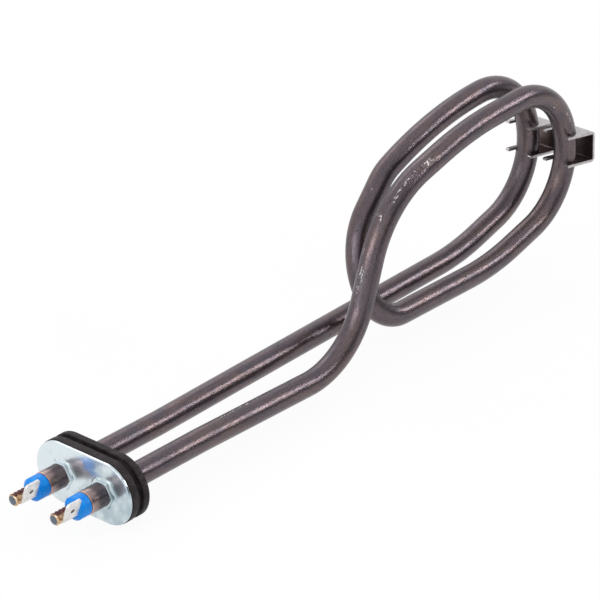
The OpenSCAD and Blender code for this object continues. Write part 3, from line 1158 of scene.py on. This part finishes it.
def make_tab():
    nothing_selected()
    bpy.ops.mesh.primitive_cube_add(size=1.0, location=(0, 0, (TAB_LONG / 2) * MM))
    tab = just_added("first_tab")
    tab.scale = (TAB_WIDE * MM, TAB_THICK * MM, TAB_LONG * MM)
    settle()
    cut_top_corner(tab, -1)
    cut_top_corner(tab, 1)
    punch(tab, TAB_HOLE / 2, (0, 0, TAB_LONG / 2))
    punch(tab, NOTCH_R, NOTCH_AT)
    soften(tab, width=0.09, segments=2, angle=40.0)
    tab.location = TAB_BASE * MM
    settle()
    tab.rotation_euler = (TAB_LEAN, 0, 0)
    tab.location = TAB_AT * MM
    return finish_mesh(tab)


first_tab = make_tab()
for corner, place in zip((0, 6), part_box("first_flag_tab")):
    off = Vector(first_tab.bound_box[corner]) - place
    print("a corner of the tab's box is off by", [round(v / MM, 2) for v in off])

# %% [markdown]
# Tin is whiter than zinc, with fine brushed lines across the blade and small dark specks. The
# wall of the latch hole is painted dark brown, which is painted shade in the hole.

# %% Tin finish
TIN = (0.82, 0.81, 0.795)
TIN_DULL = (0.66, 0.65, 0.63)
TIN_SPECK = (0.16, 0.14, 0.12)
HOLE_SHADE = (0.13, 0.09, 0.07)
HOLE_AT = TAB_AT + Matrix.Rotation(TAB_LEAN, 3, "X") @ (TAB_BASE + Vector((0, 0, TAB_LONG / 2)))
HOLE_REACH = (1.4, 1.4, 1.4)


def tin_finish():
    tin = new_finish("tab_metal")
    spot = tin.place()
    cloud = tin.noise(spot, 0.8, 4.0, 0.6)
    brushed = tin.noise(tin.stretched(spot, 0.5, 6.0, 6.0), 1.0, 3.0, 0.6)
    specks = tin.noise(spot, 3.2, 2.0, 0.5).stepped(0.70, 0.74)
    colour = tin.mix(cloud.stepped(0.40, 0.66), TIN, TIN_DULL)
    colour = tin.mix(specks * 0.6, colour, TIN_SPECK)
    # painted shade: the wall of the latch hole is painted dark brown
    holes = tin.near(spot, HOLE_AT, HOLE_REACH) + tin.near(spot, HOLE_AT + TO_SECOND, HOLE_REACH)
    colour = tin.mix(holes.stepped(0.45, 0.65), colour, HOLE_SHADE)
    rough = 0.32 + 0.16 * brushed
    normal = tin.bump(brushed, 0.25, 0.06 * MM, tin.bump(cloud, 0.3, 0.4 * MM))
    return tin.surface(base_color=colour, metallic=0.75, roughness=rough, normal=normal)


dress_pair(first_tab, tin_finish(), "tab_metal", "flag_tab")

# %% [markdown]
# ## The locating clips
#
# Two channels of spring steel are pushed on the far bends, and hold the element in its bracket.
# The back stands upright, and the two flanges rise towards the tube, with a notch that grips
# it. The side view is drawn as a line of points, pulled out to the width, and then given its
# thickness, as a press folds a strip. The tips are rolled over a little, so that they slide on.

# %% Side view of a clip
CLIP_HIGH = 12.2
CLIP_WIDE = 12.0
CLIP_THICK = 1.05
CLIP_BACK = 10.0
CLIP_PRONG = 5.6
CLIP_Z = 36.5
CLIP_TILT = math.radians(10.0)
CLIP_ROUND = 1.6
TIP_ROLL = math.radians(50.0)
TIP_ROLL_R = 1.0
ROUND_STEPS = 6


def clip_rise(x):
    return -x * math.tan(CLIP_TILT)


def on_circle(middle, radius, angle):
    return (middle[0] + radius * math.cos(angle), middle[1] + radius * math.sin(angle))


def clip_profile():
    """The middle of the sheet, from the upper tip round the back to the lower tip, as (x, z)."""
    back = CLIP_BACK - CLIP_THICK / 2
    half = (CLIP_HIGH - CLIP_THICK / math.cos(CLIP_TILT)) / 2
    r = CLIP_ROUND - CLIP_THICK / 2
    front = -CLIP_PRONG + TIP_ROLL_R * math.sin(TIP_ROLL)
    points = []
    for s in (1, -1):
        square = s * math.pi / 2 - CLIP_TILT
        cut = r * math.tan((math.pi / 2 - s * CLIP_TILT) / 2)
        middle = (back - r, s * half + clip_rise(back) - s * cut)
        turns = [square * (1 - k / ROUND_STEPS) for k in range(ROUND_STEPS + 1)]
        corner = [on_circle(middle, r, a) for a in turns]
        tip = (front, s * half + clip_rise(front))
        roll_middle = on_circle(tip, TIP_ROLL_R, square)
        rolls = [s * TIP_ROLL * k / ROUND_STEPS for k in range(ROUND_STEPS, 0, -1)]
        rolled = [on_circle(roll_middle, TIP_ROLL_R, square + math.pi - a) for a in rolls]
        side = rolled + [tip] + corner
        points += side if s > 0 else side[::-1]
    return points


print("side view of a clip has", len(clip_profile()), "points")

# %% Clips
GRIP = 0.15


def folded_strip(name, points, wide):
    """A strip along the (x, z) points. The first flat is a plane, the next come from its edge."""
    (xa, za), (xb, zb) = points[:2]
    nothing_selected()
    bpy.ops.mesh.primitive_plane_add(
        size=1.0, location=((xa + xb) / 2 * MM, 0, (za + zb) / 2 * MM),
        rotation=(0, -math.atan2(zb - za, xb - xa), 0),
    )
    strip = just_added(name)
    strip.scale = (math.hypot(xb - xa, zb - za) * MM, wide * MM, 1)
    settle()
    last = Vector((xb * MM, zb * MM))
    pick(strip, "EDGE", lambda co: (Vector((co.x, co.z)) - last).length < 0.01 * MM)
    for (xa, za), (xb, zb) in zip(points[1:], points[2:]):
        step = Vector(((xb - xa) * MM, 0, (zb - za) * MM))
        pull(step)
    leave_edit()
    return strip


def far_x(bend):
    """How far out the line of the tube reaches in that bend, at the height of the clip."""
    reach = math.sqrt(bend["radius"] ** 2 - (CLIP_Z - bend["centre"].z) ** 2)
    return bend["centre"].x + reach


def cut_notch(clip, parts, at):
    """Cuts the clip out round the tube, and opens the notch towards the tips."""
    grip = TUBE_R + GRIP
    cut_away(clip, close_ends(pull_tube("notch_tool", grip, parts, BORE_SIDES)))
    nothing_selected()
    long = CLIP_PRONG + 2
    bpy.ops.mesh.primitive_cube_add(size=1.0, location=at - Vector((long / 2 * MM, 0, 0)))
    slot = bpy.context.object
    slot.scale = (long * MM, 2 * grip * MM, 3 * CLIP_HIGH * MM)
    cut_away(clip, slot)


def mark_depth(clip, at):
    """Stores how deep each corner lies under the outer side of the sheet, in mm."""
    depths = []
    for v in clip.data.vertices:
        spot = (v.co - at) / MM
        under = CLIP_HIGH / 2 - abs(spot.z - clip_rise(spot.x))
        depths.append(max(0.0, min(under, CLIP_BACK - spot.x)))
    stored = clip.data.attributes.new("sheet_depth", "FLOAT", "POINT")
    stored.data.foreach_set("value", depths)


def make_clip(name, corner, y):
    """A clip on the bend at that corner of the line. It also meets the next straight and bend."""
    bend = 2 * corner - 1
    at = Vector((far_x(LINE[bend]), y, CLIP_Z)) * MM
    clip = folded_strip(name, clip_profile(), CLIP_WIDE)
    apply_modifier(clip, "SOLIDIFY", thickness=CLIP_THICK * MM, offset=0.0, use_even_offset=True)
    clip.location = at
    finish_mesh(clip)
    cut_notch(clip, LINE[bend:bend + 3], at)
    soften(clip, width=0.12, segments=3, angle=40.0)
    mark_depth(clip, at)
    return finish_mesh(clip)


first_clip = make_clip("first_clip", 3, FIRST_Y)
second_clip = make_clip("second_clip", 10, LOOP_Y)
print("clips have", [len(c.data.vertices) for c in (first_clip, second_clip)], "corners")

# %% [markdown]
# Spring steel leaves the rolls bright, with fine level lines and a few dark stains. The inner
# faces of the fold are painted dark brown, which is painted shade, and the stored depth tells
# where they begin.

# %% Clip finish
SPRING = (0.52, 0.495, 0.50)
SPRING_DULL = (0.38, 0.36, 0.365)
SPRING_STAIN = (0.15, 0.125, 0.12)
INNER_SHADE = (0.125, 0.093, 0.090)


def spring_finish():
    spring = new_finish("clip_steel")
    spot = spring.place()
    cloud = spring.noise(spot, 0.4, 4.0, 0.6)
    rolled = spring.noise(spring.stretched(spot, 0.6, 0.6, 5.0), 1.0, 3.0, 0.6)
    stains = spring.noise(spot, 1.3, 5.0, 0.7).stepped(0.64, 0.74)
    colour = spring.mix((cloud * 0.5 + rolled * 0.5).stepped(0.40, 0.62), SPRING, SPRING_DULL)
    colour = spring.mix(stains * 0.5, colour, SPRING_STAIN)
    deep = spring.node("ShaderNodeAttribute", {"attribute_name": "sheet_depth"}, out="Fac")
    # painted shade: faces more than 1 mm under the outer side are painted dark brown
    colour = spring.mix((deep + cloud * 0.1).stepped(1.0, 1.1), colour, INNER_SHADE)
    rough = 0.22 + 0.16 * rolled
    normal = spring.bump(rolled + cloud, 0.5, 0.15 * MM)
    return spring.surface(base_color=colour, metallic=0.9, roughness=rough, normal=normal)


clip_finish = spring_finish()
dress(first_clip, clip_finish, "clip_steel", "first_locating_clip")
dress(second_clip, clip_finish, "clip_steel", "second_locating_clip")

# %% [markdown]
# ## What the sheath holds
#
# Inside the tube are the white powder, the coil and the two plugs. They don't show, but someone
# who cuts the part open or takes it apart will see them. Their solids are right as they are, so
# only their finishes are made: packed powder, drawn wire and fired clay.

# %% Inner finishes
POWDER = (0.80, 0.78, 0.73)
POWDER_DARK = (0.68, 0.66, 0.61)
CLAY = (0.56, 0.50, 0.42)
CLAY_DARK = (0.42, 0.36, 0.29)
WIRE = (0.30, 0.30, 0.31)
WIRE_DARK = (0.20, 0.19, 0.19)


def powder_finish(name, pale, dark, scale):
    """A dry, grainy, dull finish."""
    powder = new_finish(name)
    spot = powder.place()
    cloud = powder.noise(spot, scale, 4.0, 0.6)
    grain = powder.noise(spot, 9.0, 4.0, 0.7)
    colour = powder.mix((cloud * 0.6 + grain * 0.4).stepped(0.35, 0.65), pale, dark)
    normal = powder.bump(grain, 0.6, 0.1 * MM)
    return powder.surface(base_color=colour, roughness=0.82 + 0.12 * grain, normal=normal)


def wire_finish():
    """Close turns of wire, seen as fine ridges across the length."""
    wire = new_finish("coil_alloy")
    spot = wire.place()
    bands = {"bands_direction": "X"}
    turns = wire.node("ShaderNodeTexWave", bands, {"Vector": spot, "Scale": 0.35})
    cloud = wire.noise(spot, 0.6, 3.0)
    colour = wire.mix(cloud, WIRE, WIRE_DARK)
    rough = 0.3 + 0.15 * cloud
    normal = wire.bump(turns, 0.8, 0.2 * MM)
    return wire.surface(base_color=colour, metallic=0.95, roughness=rough, normal=normal)


def coat(node, material):
    """Gives a solid that stays as it is a new finish."""
    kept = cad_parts[node]
    kept.data.materials.clear()
    kept.data.materials.append(material)
    print(node, "has the finish", material.name)


coat("magnesia_core", powder_finish("magnesia", POWDER, POWDER_DARK, 0.3))
coat("resistance_coil", wire_finish())
clay = powder_finish("plug_cement", CLAY, CLAY_DARK, 0.8)
for node in ("first_sealing_plug", "second_sealing_plug"):
    coat(node, clay)
